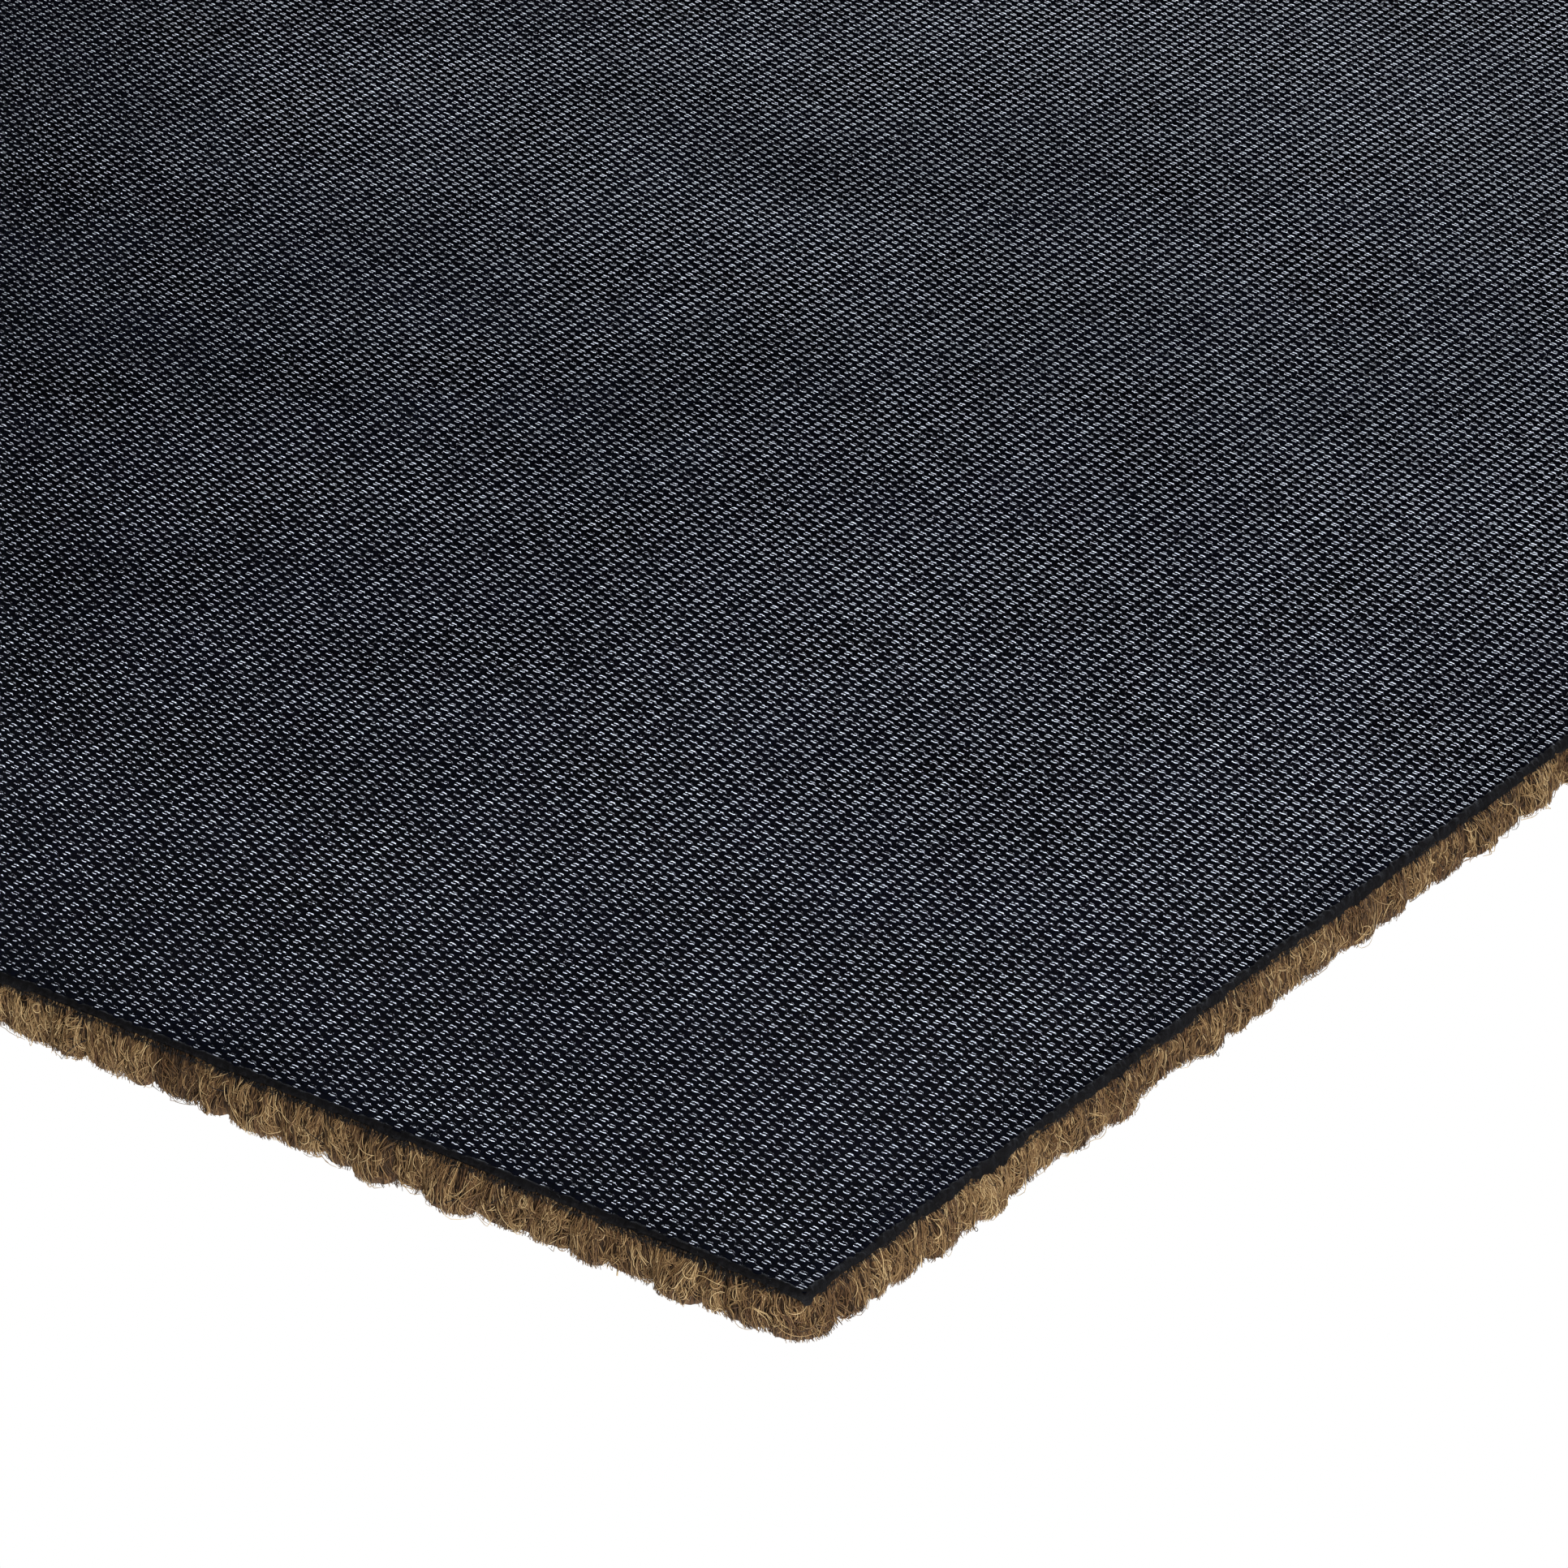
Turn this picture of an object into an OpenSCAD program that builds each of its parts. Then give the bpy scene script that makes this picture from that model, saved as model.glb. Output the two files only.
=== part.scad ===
// Coir door mat: rows of cut coir tufts pressed into a cast vinyl backing.
// It lies on the plane z = 0 with the vinyl down and the pile up, centred on
// the origin. The tuft rows run along Y, the mat's long side.

/* [Mat] */
// Short side of the mat, across the tuft rows (mm)
mat_w = 600; // [400:10:900]
// Long side of the mat, along the tuft rows (mm)
mat_l = 900; // [500:10:1500]
// Height of the mat, from the floor to the cut tops of the tufts (mm)
mat_h = 15; // [12:0.5:25]

/* [Vinyl backing] */
// Thickness of the cast vinyl sheet (mm)
backing_t = 2.5; // [2:0.1:4]
// Radius of the sheet's four corners (mm)
backing_corner_r = 2; // [1:0.5:4]
// Vinyl that stays outside the pile along each edge (mm)
edge_lip = 0.5; // [0.2:0.1:1]

/* [Coir pile] */
// Number of tuft rows, one node each
row_count = 40; // [20:1:55]
// Clear gap between two rows (mm)
row_gap = 0.4; // [0.3:0.1:1]
// Depth that the tufts are pressed into the vinyl (mm)
seat_depth = 1; // [0.5:0.1:1.5]
// How much a row is narrower at its foot than at its top, on each side (mm)
foot_inset = 1.3; // [0.5:0.1:1.5]
// Height over which the tufts spread from the foot to full width (mm)
spread_h = 2.5; // [2:0.1:4]
// Radius of the two long top edges of a row (mm)
crown_r = 2.5; // [1:0.5:2.5]
// Radius of the pile's four corners, seen from above (mm)
pile_corner_r = 9; // [5:1:20]

/* [Hidden] */
$fn = 64;
pile_w = mat_w - 2 * edge_lip;
pile_l = mat_l - 2 * edge_lip;
row_pitch = pile_w / row_count;
row_w = row_pitch - row_gap;
seat_z = backing_t - seat_depth;
crown_z = mat_h - crown_r;
// Extra length of a row before the pile's outline trims it
trim = 5;

vinyl_colour = [0.05, 0.055, 0.08];
coir_colour = [0.52, 0.38, 0.22];
coir_shade_colour = [0.45, 0.32, 0.18];

function row_name(i) = str("coir_row_", i < 10 ? "0" : "", i);
function row_x(i) = (i - (row_count + 1) / 2) * row_pitch;

// Rectangle centred on the origin with round corners
module round_rectangle(w, l, r) {
    square([w - 2 * r, l], center = true);
    square([w, l - 2 * r], center = true);
    for (sx = [-1, 1])
        for (sy = [-1, 1])
            translate([sx * (w / 2 - r), sy * (l / 2 - r)])
                circle(r);
}

// Cross-section of one row: a narrow foot that spreads upwards, and a top
// with round edges
module row_profile() {
    half = row_w / 2;
    foot_half = half - foot_inset;
    polygon([
        [-foot_half, seat_z],
        [foot_half, seat_z],
        [half, seat_z + spread_h],
        [half, crown_z],
        [-half, crown_z],
        [-half, seat_z + spread_h]
    ]);
    translate([crown_r - half, crown_z])
        square([row_w - 2 * crown_r, crown_r]);
    for (side = [-1, 1])
        translate([side * (half - crown_r), crown_z])
            circle(crown_r);
}

// One row of tufts, cut off at the pile's outline
module tuft_row(i) {
    intersection() {
        translate([row_x(i), 0, 0])
            rotate([90, 0, 0])
                linear_extrude(pile_l + 2 * trim, center = true)
                    row_profile();
        linear_extrude(mat_h + trim)
            round_rectangle(pile_w, pile_l, pile_corner_r);
    }
}

// The cast sheet, with a shallow seat for the foot of every row
module vinyl_backing() {
    color(vinyl_colour)
        difference() {
            linear_extrude(backing_t)
                round_rectangle(mat_w, mat_l, backing_corner_r);
            for (i = [1:row_count])
                tuft_row(i);
        }
}

module coir_row(i) {
    color(i % 2 == 0 ? coir_colour : coir_shade_colour)
        tuft_row(i);
}

vinyl_backing();
for (i = [1:row_count])
    coir_row(i);
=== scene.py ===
# Coir door mat on its vinyl backing, seen from below at one corner, as when it is turned over.
# Lengths are in metres, in the frame's own axes: the vinyl lies on z = 0 and the pile stands up.
import math

import bpy
import numpy as np
from mathutils import Matrix, Vector


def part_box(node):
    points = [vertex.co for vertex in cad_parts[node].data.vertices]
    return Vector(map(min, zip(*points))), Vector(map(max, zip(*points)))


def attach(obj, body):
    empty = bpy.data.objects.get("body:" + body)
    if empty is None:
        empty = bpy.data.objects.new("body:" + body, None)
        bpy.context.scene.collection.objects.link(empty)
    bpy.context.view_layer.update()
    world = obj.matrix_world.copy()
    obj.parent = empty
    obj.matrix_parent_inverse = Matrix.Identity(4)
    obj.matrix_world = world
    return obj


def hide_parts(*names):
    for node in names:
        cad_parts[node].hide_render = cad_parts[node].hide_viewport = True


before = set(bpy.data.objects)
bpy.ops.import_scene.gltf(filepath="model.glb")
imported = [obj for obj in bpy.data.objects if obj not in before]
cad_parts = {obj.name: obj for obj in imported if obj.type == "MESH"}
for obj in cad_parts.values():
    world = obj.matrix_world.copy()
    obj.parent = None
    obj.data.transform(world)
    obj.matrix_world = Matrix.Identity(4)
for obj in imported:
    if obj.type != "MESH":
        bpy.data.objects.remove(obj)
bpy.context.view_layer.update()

MM = 0.001
rng = np.random.default_rng(674)

# ---------------------------------------------
# Sizes, from the frame and a few driving values
# ---------------------------------------------
SHEET_HIGH = np.array(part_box("vinyl_backing")[1])
ROW_NODES = sorted(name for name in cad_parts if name.startswith("coir_row_"))
ROW_BOXES = [[np.array(corner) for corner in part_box(name)] for name in ROW_NODES]
HALF_W, HALF_L = SHEET_HIGH[0], SHEET_HIGH[1]
PILE_HALF_W = ROW_BOXES[-1][1][0]
PILE_HALF_L = ROW_BOXES[0][1][1]
PILE_TOP = ROW_BOXES[0][1][2]
ROW_PITCH = ROW_BOXES[1][0][0] - ROW_BOXES[0][0][0]
ROW_START = ROW_BOXES[0][0][0] - (ROW_PITCH - (ROW_BOXES[0][1][0] - ROW_BOXES[0][0][0])) / 2

PIP_PITCH = 2.85 * MM             # between neighbours along Y
PIP_ROW = 0.981 * PIP_PITCH       # between the staggered rows, along X
PIP_HEIGHT = 0.62 * MM
THREAD_PITCH = PIP_PITCH / 3      # of the belt's threads, pressed into the pips
SHEET_CORNER_R = 2.0 * MM
PILE_CORNER_R = 9.0 * MM
FIBRE_R = 0.105 * MM
FIELD_MARGIN = 50 * MM            # how far past the mat a field of patches reaches

# ---------------------------------------------
# Noise and curves
# ---------------------------------------------


def smooth(t):
    """Eases 0..1 in and out."""
    t = np.clip(t, 0.0, 1.0)
    return t * t * (3 - 2 * t)


def wander(s, spacing, total):
    """A closed smooth random line along a length s that comes round after total, from -1 to 1."""
    count = max(4, int(round(total / spacing)))
    knots = rng.uniform(-1, 1, count)
    u = (s / total * count) % count
    low = u.astype(int) % count
    return knots[low] + (knots[(low + 1) % count] - knots[low]) * smooth(u - np.floor(u))


class Field:
    """Smooth random patches over the plane, from -1 to 1, about spacing across."""

    def __init__(self, spacing):
        cols = int((2 * HALF_W + 2 * FIELD_MARGIN) / spacing) + 3
        rows = int((2 * HALF_L + 2 * FIELD_MARGIN) / spacing) + 3
        self.spacing = spacing
        self.grid = rng.uniform(-1, 1, (cols, rows))

    def at(self, x, y):
        """The patches' values at points x, y."""
        grid = self.grid
        u = np.clip((x + HALF_W + FIELD_MARGIN) / self.spacing, 0, grid.shape[0] - 1.001)
        v = np.clip((y + HALF_L + FIELD_MARGIN) / self.spacing, 0, grid.shape[1] - 1.001)
        i, j = u.astype(int), v.astype(int)
        fu, fv = smooth(u - i), smooth(v - j)
        low = grid[i, j] + (grid[i + 1, j] - grid[i, j]) * fu
        high = grid[i, j + 1] + (grid[i + 1, j + 1] - grid[i, j + 1]) * fu
        return low + (high - low) * fv


class Outline:
    """The rounded rectangle round the mat, walked anticlockwise seen from above."""

    def __init__(self, half_w, half_l, radius):
        self.r = radius
        self.legs = [2 * (half_w - radius), 2 * (half_l - radius)] * 2
        self.arc = math.pi / 2 * radius
        self.total = sum(self.legs) + 4 * self.arc
        a, b = half_w - radius, half_l - radius
        self.centres = np.array([(a, -b), (a, b), (-a, b), (-a, -b)])
        self.starts = np.array([(-a, -half_l), (half_w, -b), (a, half_l), (-half_w, b)])

    def at(self, s):
        """Points and outward directions at lengths s."""
        s = np.asarray(s) % self.total
        point, out = np.zeros((len(s), 2)), np.zeros((len(s), 2))
        begin = 0.0
        for side in range(4):
            angle = side * math.pi / 2
            ahead = np.array([math.cos(angle), math.sin(angle)])
            outward = np.array([math.sin(angle), -math.cos(angle)])
            on = (s >= begin) & (s < begin + self.legs[side])
            point[on] = self.starts[side] + (s[on] - begin)[:, None] * ahead
            out[on] = outward
            begin += self.legs[side]
            on = (s >= begin) & (s < begin + self.arc)
            turn = angle - math.pi / 2 + (s[on] - begin) / self.r
            out[on] = np.stack([np.cos(turn), np.sin(turn)], 1)
            point[on] = self.centres[side] + self.r * out[on]
            begin += self.arc
        return point, out


# ---------------------------------------------
# Mesh building
# ---------------------------------------------


def mesh_piece(name, verts, quads, tris, materials, quad_slots=None, tri_slots=None):
    """One object from arrays of vertices, quads and triangles, smooth shaded, riding on the mat."""
    mesh = bpy.data.meshes.new(name)
    quads, tris = np.asarray(quads, np.int32).reshape(-1, 4), np.asarray(tris, np.int32).reshape(-1, 3)
    corners = np.concatenate([quads.ravel(), tris.ravel()])
    starts = np.concatenate([
        np.arange(len(quads)) * 4,
        len(quads) * 4 + np.arange(len(tris)) * 3,
    ])
    mesh.vertices.add(len(verts))
    mesh.vertices.foreach_set("co", np.asarray(verts, np.float32).ravel())
    mesh.loops.add(len(corners))
    mesh.loops.foreach_set("vertex_index", corners)
    mesh.polygons.add(len(starts))
    mesh.polygons.foreach_set("loop_start", starts.astype(np.int32))
    for material in materials:
        mesh.materials.append(material)
    if quad_slots is not None:
        slots = np.concatenate([quad_slots, tri_slots]).astype(np.int32)
        mesh.polygons.foreach_set("material_index", slots)
    mesh.update(calc_edges=True)
    mesh.shade_smooth()
    piece = bpy.data.objects.new(name, mesh)
    bpy.context.scene.collection.objects.link(piece)
    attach(piece, "root")
    return piece


def tube_strands(paths, radii):
    """Three-sided closed strands. paths is (strands, rings, 3) and radii (strands, rings).
    Returns vertices, quads and triangles; each strand's faces follow the last one's."""
    count, rings, _ = paths.shape
    along = np.gradient(paths, axis=1)
    along /= np.linalg.norm(along, axis=2, keepdims=True) + 1e-12
    aside = rng.normal(size=(count, 1, 3))
    first = np.cross(along, aside)
    first /= np.linalg.norm(first, axis=2, keepdims=True) + 1e-12
    second = np.cross(along, first)
    verts = np.empty((count, rings, 3, 3))
    for k in range(3):
        angle = k * 2 * math.pi / 3
        spoke = math.cos(angle) * first + math.sin(angle) * second
        verts[:, :, k] = paths + spoke * radii[:, :, None]
    base = (np.arange(count) * rings * 3)[:, None, None]
    ring = (np.arange(rings - 1) * 3)[None, :, None]
    k = np.arange(3)[None, None, :]
    after = (np.arange(3) + 1)[None, None, :] % 3
    lower, upper = base + ring, base + ring + 3
    quads = np.stack([lower + k, lower + after, upper + after, upper + k], -1)
    foot = (np.arange(count) * rings * 3)[:, None]
    tip = foot + (rings - 1) * 3
    tris = np.stack([foot + np.array([0, 2, 1]), tip + np.array([0, 1, 2])], 1)
    return verts.reshape(-1, 3), quads.reshape(count, -1, 4), tris.reshape(count, 2, 3)


# ---------------------------------------------
# Materials
# ---------------------------------------------


def new_material(name):
    """A material, its nodes and links, and its shader."""
    material = bpy.data.materials.new(name)
    material.use_nodes = True
    nodes, links = material.node_tree.nodes, material.node_tree.links
    return material, nodes, links, nodes["Principled BSDF"]


def noise_node(nodes, links, coords, scale, detail=4.0, roughness=0.55):
    """Smooth noise; scale is in patches per metre."""
    node = nodes.new("ShaderNodeTexNoise")
    node.inputs["Scale"].default_value = scale
    node.inputs["Detail"].default_value = detail
    node.inputs["Roughness"].default_value = roughness
    links.new(coords, node.inputs["Vector"])
    return node


def ramp_node(nodes, links, factor, stops):
    """A colour ramp through stops of (position, colour)."""
    node = nodes.new("ShaderNodeValToRGB")
    while len(node.color_ramp.elements) < len(stops):
        node.color_ramp.elements.new(0.5)
    for element, (position, colour) in zip(node.color_ramp.elements, stops):
        element.position = position
        element.color = (*colour, 1.0)
    links.new(factor, node.inputs["Fac"])
    return node


def range_node(nodes, links, factor, low, high, start=0.3, end=0.7):
    """A number from low to high, as the factor goes from start to end."""
    node = nodes.new("ShaderNodeMapRange")
    node.inputs["From Min"].default_value = start
    node.inputs["From Max"].default_value = end
    node.inputs["To Min"].default_value = low
    node.inputs["To Max"].default_value = high
    links.new(factor, node.inputs["Value"])
    return node


def math_node(nodes, links, operation, *values):
    """The result of one sum; each value is a number or another node's output."""
    node = nodes.new("ShaderNodeMath")
    node.operation = operation
    for socket, value in zip(node.inputs, values):
        if isinstance(value, (int, float)):
            socket.default_value = value
        else:
            links.new(value, socket)
    return node.outputs[0]


def bump_node(nodes, links, height, distance, strength=1.0, under=None):
    """Relief in the shading only, on top of another bump when one is given."""
    node = nodes.new("ShaderNodeBump")
    node.inputs["Distance"].default_value = distance
    node.inputs["Strength"].default_value = strength
    links.new(height, node.inputs["Height"])
    if under is not None:
        links.new(under.outputs["Normal"], node.inputs["Normal"])
    return node


VINYL_SHINE = (0.42, 0.95)      # specular level of its dullest and its brightest patches
RUBBED_REACH = 17 * MM          # how far in from the edges the shine is rubbed down
RUBBED_SHARE = 0.30             # what is left of it at the very edge
MIDDLE_SHARE = 0.17             # and towards the mat's middle


def vinyl_shine(nodes, links, coords):
    """How strongly the vinyl reflects: patchy, less along the edges, and less and less from the near
    corner towards the mat's middle."""
    bloom = noise_node(nodes, links, coords, 9.0, detail=1.5)
    shine = range_node(nodes, links, bloom.outputs["Fac"], *VINYL_SHINE).outputs["Result"]
    place = nodes.new("ShaderNodeSeparateXYZ")
    links.new(coords, place.inputs["Vector"])
    for axis, half in (("X", HALF_W), ("Y", HALF_L)):
        off_middle = math_node(nodes, links, "ABSOLUTE", place.outputs[axis])
        gap = math_node(nodes, links, "SUBTRACT", half, off_middle)
        rubbed = range_node(nodes, links, gap, RUBBED_SHARE, 1.0, 0.5 * MM, RUBBED_REACH)
        shine = math_node(nodes, links, "MULTIPLY", shine, rubbed.outputs["Result"])
    inward = nodes.new("ShaderNodeVectorMath")
    inward.operation = "DOT_PRODUCT"
    inward.inputs[1].default_value = (HALF_W, HALF_L, 0)
    links.new(coords, inward.inputs[0])
    along = inward.outputs["Value"]
    at_corner = -(HALF_W**2 + HALF_L**2)
    dulled = range_node(nodes, links, along, 1.0, MIDDLE_SHARE, at_corner, 0.15 * at_corner)
    return math_node(nodes, links, "MULTIPLY", shine, dulled.outputs["Result"])


def vinyl_material():
    """Glossy cast vinyl: navy black, with the belt's fine threads pressed into the pips."""
    material, nodes, links, shader = new_material("vinyl_embossed")
    coords = nodes.new("ShaderNodeTexCoord").outputs["Object"]
    tint = noise_node(nodes, links, coords, 22.0)
    colour = ramp_node(nodes, links, tint.outputs["Fac"], [
        (0.30, (0.0012, 0.0015, 0.0034)),
        (0.70, (0.0032, 0.0039, 0.0095)),
    ])
    links.new(colour.outputs["Color"], shader.inputs["Base Color"])
    # Under 0.27 everywhere: the denoiser takes a rougher gloss for another kind of surface
    wear = noise_node(nodes, links, coords, 60.0, detail=2.0)
    gloss = range_node(nodes, links, wear.outputs["Fac"], 0.175, 0.24)
    links.new(gloss.outputs["Result"], shader.inputs["Roughness"])
    links.new(vinyl_shine(nodes, links, coords), shader.inputs["Specular IOR Level"])
    shader.inputs["Specular Tint"].default_value = (0.85, 0.875, 1.0, 1.0)
    threads = nodes.new("ShaderNodeTexWave")
    threads.wave_type = "BANDS"
    threads.bands_direction = "Y"
    threads.inputs["Scale"].default_value = math.pi / 10 / THREAD_PITCH
    threads.inputs["Distortion"].default_value = 1.6
    threads.inputs["Detail"].default_value = 2.0
    threads.inputs["Detail Scale"].default_value = 1.6
    links.new(coords, threads.inputs["Vector"])
    grain = noise_node(nodes, links, coords, 900.0, detail=3.0)
    fine = bump_node(nodes, links, grain.outputs["Fac"], 0.10 * MM, 0.6)
    pressed = bump_node(nodes, links, threads.outputs["Fac"], 0.10 * MM, 0.9, under=fine)
    links.new(pressed.outputs["Normal"], shader.inputs["Normal"])
    return material


def torn_vinyl_material():
    """The cut edge and the top of the sheet: matt black, rough as torn foam."""
    material, nodes, links, shader = new_material("vinyl_torn")
    coords = nodes.new("ShaderNodeTexCoord").outputs["Object"]
    crumbs = noise_node(nodes, links, coords, 700.0, detail=6.0, roughness=0.7)
    colour = ramp_node(nodes, links, crumbs.outputs["Fac"], [
        (0.35, (0.0015, 0.0015, 0.0022)),
        (0.75, (0.0065, 0.0066, 0.0095)),
    ])
    links.new(colour.outputs["Color"], shader.inputs["Base Color"])
    shader.inputs["Roughness"].default_value = 0.75
    shader.inputs["Specular IOR Level"].default_value = 0.15
    rough = bump_node(nodes, links, crumbs.outputs["Fac"], 0.8 * MM, 1.0)
    links.new(rough.outputs["Normal"], shader.inputs["Normal"])
    return material


def tuft_painted_shade_material():
    """The inside of the tufts, seen between the fibres: coir streaked upwards, darkened into painted shade
    that lifts towards the top.
    """
    material, nodes, links, shader = new_material("coir_tuft")
    coords = nodes.new("ShaderNodeTexCoord").outputs["Object"]
    stretch = nodes.new("ShaderNodeMapping")
    stretch.inputs["Scale"].default_value = (1.0, 1.0, 0.16)
    links.new(coords, stretch.inputs["Vector"])
    streaks = noise_node(nodes, links, stretch.outputs["Vector"], 1500.0, detail=3.0)
    # Far darker than the fibres' tones: painted shade for the inside of the pile
    colour = ramp_node(nodes, links, streaks.outputs["Fac"], [
        (0.32, (0.004, 0.003, 0.002)),
        (0.52, (0.026, 0.014, 0.007)),
        (0.72, (0.090, 0.052, 0.024)),
    ])
    place = nodes.new("ShaderNodeSeparateXYZ")
    links.new(coords, place.inputs["Vector"])
    # Painted shade: the bar is darkest low down and up to 3.4 times lighter near the pile's top, where less
    # shade falls
    low, high = PILE_TOP - 4.5 * MM, PILE_TOP - 2.2 * MM
    cut = range_node(nodes, links, place.outputs["Z"], 1.0, 3.4, low, high)
    lighter = nodes.new("ShaderNodeVectorMath")
    lighter.operation = "SCALE"
    links.new(colour.outputs["Color"], lighter.inputs["Vector"])
    links.new(cut.outputs["Result"], lighter.inputs["Scale"])
    links.new(lighter.outputs["Vector"], shader.inputs["Base Color"])
    shader.inputs["Roughness"].default_value = 0.85
    shader.inputs["Specular IOR Level"].default_value = 0.2
    ridges = bump_node(nodes, links, streaks.outputs["Fac"], 0.6 * MM, 0.9)
    links.new(ridges.outputs["Normal"], shader.inputs["Normal"])
    return material


def fibre_material(name, colour, roughness):
    """One tone of coir, its surface pitted by noise."""
    material, nodes, links, shader = new_material(name)
    coords = nodes.new("ShaderNodeTexCoord").outputs["Object"]
    shader.inputs["Base Color"].default_value = (*colour, 1.0)
    shader.inputs["Specular IOR Level"].default_value = 0.35
    pits = noise_node(nodes, links, coords, 2500.0, detail=2.0)
    dull = range_node(nodes, links, pits.outputs["Fac"], roughness - 0.12, roughness + 0.12)
    links.new(dull.outputs["Result"], shader.inputs["Roughness"])
    bark = bump_node(nodes, links, pits.outputs["Fac"], 0.06 * MM, 0.6)
    links.new(bark.outputs["Normal"], shader.inputs["Normal"])
    return material


# Coir tones from roots black with vinyl stain and painted shadow under the vinyl's lip, through brown to
# straw
FIBRE_TONES = [
    ("coir_stained", (0.0050, 0.0052, 0.0072), 0.75),
    ("coir_umber", (0.055, 0.030, 0.014), 0.70),
    ("coir_russet", (0.120, 0.061, 0.026), 0.65),
    ("coir_brown", (0.175, 0.101, 0.043), 0.62),
    ("coir_tan", (0.260, 0.163, 0.072), 0.60),
    ("coir_light", (0.370, 0.245, 0.115), 0.58),
    ("coir_straw", (0.540, 0.395, 0.205), 0.55),
]

VINYL = vinyl_material()
TORN = torn_vinyl_material()
TUFT_PAINTED_SHADE = tuft_painted_shade_material()
FIBRES = [fibre_material(*tone) for tone in FIBRE_TONES]
STAINED_AND_SHADED, UMBER, STRAW = 0, 1, len(FIBRE_TONES) - 1

# ---------------------------------------------
# Camera: under the near corner, looking up at the underside, with the floor side up in the picture
# ---------------------------------------------
VIEW_AZIMUTH = -125.4     # of the camera seen from the aim point, degrees from +X towards +Y
VIEW_ELEVATION = -28.55
VIEW_ROLL = -0.92
VIEW_DISTANCE = 1.8577
VIEW_AIM = Vector((-HALF_W + 0.1320, -HALF_L + 0.1752, 0.0))
SENSOR = 36.0
LENS = 184.6


def add_camera():
    """The photograph's camera. Returns the direction from the aim point back to it."""
    azimuth, elevation = math.radians(VIEW_AZIMUTH), math.radians(VIEW_ELEVATION)
    back = Vector((
        math.cos(azimuth) * math.cos(elevation),
        math.sin(azimuth) * math.cos(elevation),
        math.sin(elevation),
    ))
    up = Vector((0, 0, -1))
    up = (up - back * up.dot(back)).normalized()
    right = up.cross(back)
    roll = math.radians(VIEW_ROLL)
    rolled_up = up * math.cos(roll) + right * math.sin(roll)
    rolled_right = rolled_up.cross(back)
    data = bpy.data.cameras.new("camera")
    data.sensor_width = SENSOR
    data.lens = LENS
    data.clip_start, data.clip_end = 0.05, 60.0
    camera = bpy.data.objects.new("camera", data)
    turn = Matrix((rolled_right, rolled_up, back)).transposed().to_4x4()
    camera.matrix_world = Matrix.Translation(VIEW_AIM + back * VIEW_DISTANCE) @ turn
    bpy.context.scene.collection.objects.link(camera)
    bpy.context.scene.camera = camera
    return back


camera_back = add_camera()

# ---------------------------------------------
# Surroundings: pale floor, white room, soft lights above and below
# ---------------------------------------------
ROOM_LIGHT = 0.16
ROOM_REFLECTED = 0.05
FLOOR_HALF = 25.0


def add_world():
    """White where the camera sees it, dim where it lights, and nearly black in reflections."""
    world = bpy.data.worlds.new("room")
    world.use_nodes = True
    nodes, links = world.node_tree.nodes, world.node_tree.links
    background = nodes["Background"]
    background.inputs["Color"].default_value = (1.0, 1.0, 1.0, 1.0)
    rays = nodes.new("ShaderNodeLightPath")
    reflected = nodes.new("ShaderNodeMapRange")
    reflected.inputs["To Min"].default_value = ROOM_LIGHT
    reflected.inputs["To Max"].default_value = ROOM_REFLECTED
    links.new(rays.outputs["Is Glossy Ray"], reflected.inputs["Value"])
    strength = nodes.new("ShaderNodeMix")
    links.new(rays.outputs["Is Camera Ray"], strength.inputs["Factor"])
    links.new(reflected.outputs["Result"], strength.inputs["A"])
    strength.inputs["B"].default_value = 1.0
    links.new(strength.outputs["Result"], background.inputs["Strength"])
    bpy.context.scene.world = world


def add_floor():
    """A pale floor that is there from above and open from below, so that the underside can be seen
    and lit from under it. It takes the mat's shadow and gives nothing back to the mat."""
    material = bpy.data.materials.new("floor_pale")
    material.use_nodes = True
    nodes, links = material.node_tree.nodes, material.node_tree.links
    nodes.clear()
    output = nodes.new("ShaderNodeOutputMaterial")
    paint = nodes.new("ShaderNodeBsdfDiffuse")
    paint.inputs["Color"].default_value = (0.78, 0.78, 0.77, 1.0)
    open_side = nodes.new("ShaderNodeBsdfTransparent")
    side = nodes.new("ShaderNodeNewGeometry")
    mix = nodes.new("ShaderNodeMixShader")
    links.new(side.outputs["Backfacing"], mix.inputs["Fac"])
    links.new(paint.outputs["BSDF"], mix.inputs[1])
    links.new(open_side.outputs["BSDF"], mix.inputs[2])
    links.new(mix.outputs["Shader"], output.inputs["Surface"])
    mesh = bpy.data.meshes.new("floor")
    f = FLOOR_HALF
    mesh.from_pydata([(-f, -f, 0), (f, -f, 0), (f, f, 0), (-f, f, 0)], [], [(0, 1, 2, 3)])
    mesh.materials.append(material)
    floor = bpy.data.objects.new("floor", mesh)
    floor.location.z = -0.05 * MM
    bpy.context.scene.collection.objects.link(floor)
    floor.visible_diffuse = False
    floor.visible_glossy = False
    floor.visible_transmission = False
    floor.visible_shadow = False


def add_light(name, place, target, width, height, power, colour=(1.0, 1.0, 1.0)):
    """A soft rectangular light at place that faces target."""
    data = bpy.data.lights.new(name, "AREA")
    data.shape = "RECTANGLE"
    data.size, data.size_y = width, height
    data.energy = power
    data.color = colour
    light = bpy.data.objects.new(name, data)
    light.location = place
    light.rotation_euler = (Vector(target) - Vector(place)).to_track_quat("-Z", "Y").to_euler()
    light.visible_camera = False
    bpy.context.scene.collection.objects.link(light)


FAR = Vector((-camera_back.x, -camera_back.y, 0)).normalized()   # away from the camera, over the mat
DOWN = Vector((0, 0, -1))                                        # up in the picture
SIDE = FAR.cross(DOWN)                                           # to the picture's right


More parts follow.
